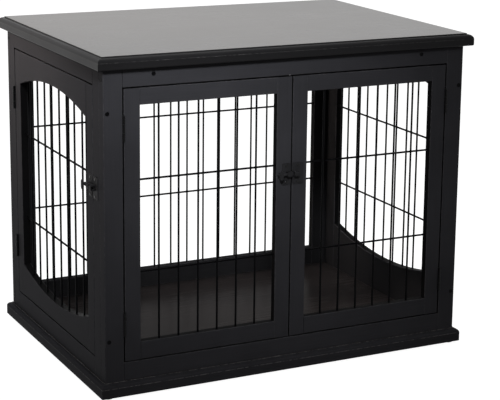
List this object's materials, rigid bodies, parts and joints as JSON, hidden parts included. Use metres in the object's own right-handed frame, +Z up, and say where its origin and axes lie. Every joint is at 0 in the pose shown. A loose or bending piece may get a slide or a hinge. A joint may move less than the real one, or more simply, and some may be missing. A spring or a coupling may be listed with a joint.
{
  "type": "dog crate end table",
  "caption": "Free-standing painted wooden crate for a dog with a moulded table top, wire grille walls, paired front doors, a wide arched side door and sliding bolts.",
  "frame": {"origin": "on the floor, under the middle of the table: the bottom centre of its bounding box", "axes": "+X runs from the left of the front to its right, +Y runs from the paired front doors to the back, +Z is up"},
  "size_m": [0.8128, 0.5842, 0.6604],
  "materials": {
    "frame_paint": "satin black paint over wood",
    "top_paint": "satin black-brown paint over board",
    "wire": "semi-gloss black powder coat",
    "hardware": "satin black coat",
    "glide": "matt"
  },
  "bodies": {
    "crate": {"top_board": "top_paint", "base_board": "frame_paint", "foot_front_left": "glide", "foot_front_right": "glide", "foot_rear_left": "glide", "foot_rear_right": "glide", "front_left_post": "frame_paint", "front_right_post": "frame_paint", "front_top_rail": "frame_paint", "front_bottom_rail": "frame_paint", "left_side_front_post": "frame_paint", "left_side_rear_post": "frame_paint", "left_side_top_rail": "frame_paint", "left_side_bottom_rail": "frame_paint", "right_side_front_stile": "frame_paint", "right_side_rear_stile": "frame_paint", "right_side_top_rail": "frame_paint", "right_side_bottom_rail": "frame_paint", "right_side_grille": "wire", "rear_left_stile": "frame_paint", "rear_right_stile": "frame_paint", "rear_top_rail": "frame_paint", "rear_bottom_rail": "frame_paint", "rear_grille": "wire", "front_left_door_upper_hinge_frame_leaf": "hardware", "front_left_door_lower_hinge_frame_leaf": "hardware", "front_right_door_upper_hinge_frame_leaf": "hardware", "front_right_door_lower_hinge_frame_leaf": "hardware", "side_door_upper_hinge_frame_leaf": "hardware", "side_door_lower_hinge_frame_leaf": "hardware", "left_side_keeper": "hardware"},
    "front_left_door": {"front_left_door_hinge_stile": "frame_paint", "front_left_door_meeting_stile": "frame_paint", "front_left_door_top_rail": "frame_paint", "front_left_door_bottom_rail": "frame_paint", "front_left_door_grille": "wire", "front_left_door_upper_hinge_door_leaf": "hardware", "front_left_door_lower_hinge_door_leaf": "hardware", "front_left_door_bolt_guide": "hardware"},
    "front_right_door": {"front_right_door_hinge_stile": "frame_paint", "front_right_door_meeting_stile": "frame_paint", "front_right_door_top_rail": "frame_paint", "front_right_door_bottom_rail": "frame_paint", "front_right_door_grille": "wire", "front_right_door_upper_hinge_door_leaf": "hardware", "front_right_door_lower_hinge_door_leaf": "hardware", "front_right_door_keeper": "hardware"},
    "side_door": {"side_door_hinge_stile": "frame_paint", "side_door_meeting_stile": "frame_paint", "side_door_top_rail": "frame_paint", "side_door_bottom_rail": "frame_paint", "side_door_grille": "wire", "side_door_upper_hinge_door_leaf": "hardware", "side_door_lower_hinge_door_leaf": "hardware", "side_door_bolt_guide": "hardware"},
    "front_bolt": {"front_left_door_bolt": "hardware"},
    "side_bolt": {"side_door_bolt": "hardware"}
  },
  "joints": [
    {"name": "front_left_door_swing", "type": "hinge", "parent": "crate", "child": "front_left_door", "pos_m": [-0.35175, -0.2795, 0.334], "axis": [0, 0, -1], "range_deg": [0, 170]},
    {"name": "front_right_door_swing", "type": "hinge", "parent": "crate", "child": "front_right_door", "pos_m": [0.35175, -0.2795, 0.334], "axis": [0, 0, 1], "range_deg": [0, 170]},
    {"name": "side_door_swing", "type": "hinge", "parent": "crate", "child": "side_door", "pos_m": [-0.3938, 0.2319, 0.334], "axis": [0, 0, -1], "range_deg": [0, 170]},
    {"name": "front_bolt_slide", "type": "slide", "parent": "front_left_door", "child": "front_bolt", "axis": [1, 0, 0], "range_m": [0, 0.01]},
    {"name": "side_bolt_slide", "type": "slide", "parent": "side_door", "child": "side_bolt", "axis": [0, -1, 0], "range_m": [0, 0.01]}
  ]
}
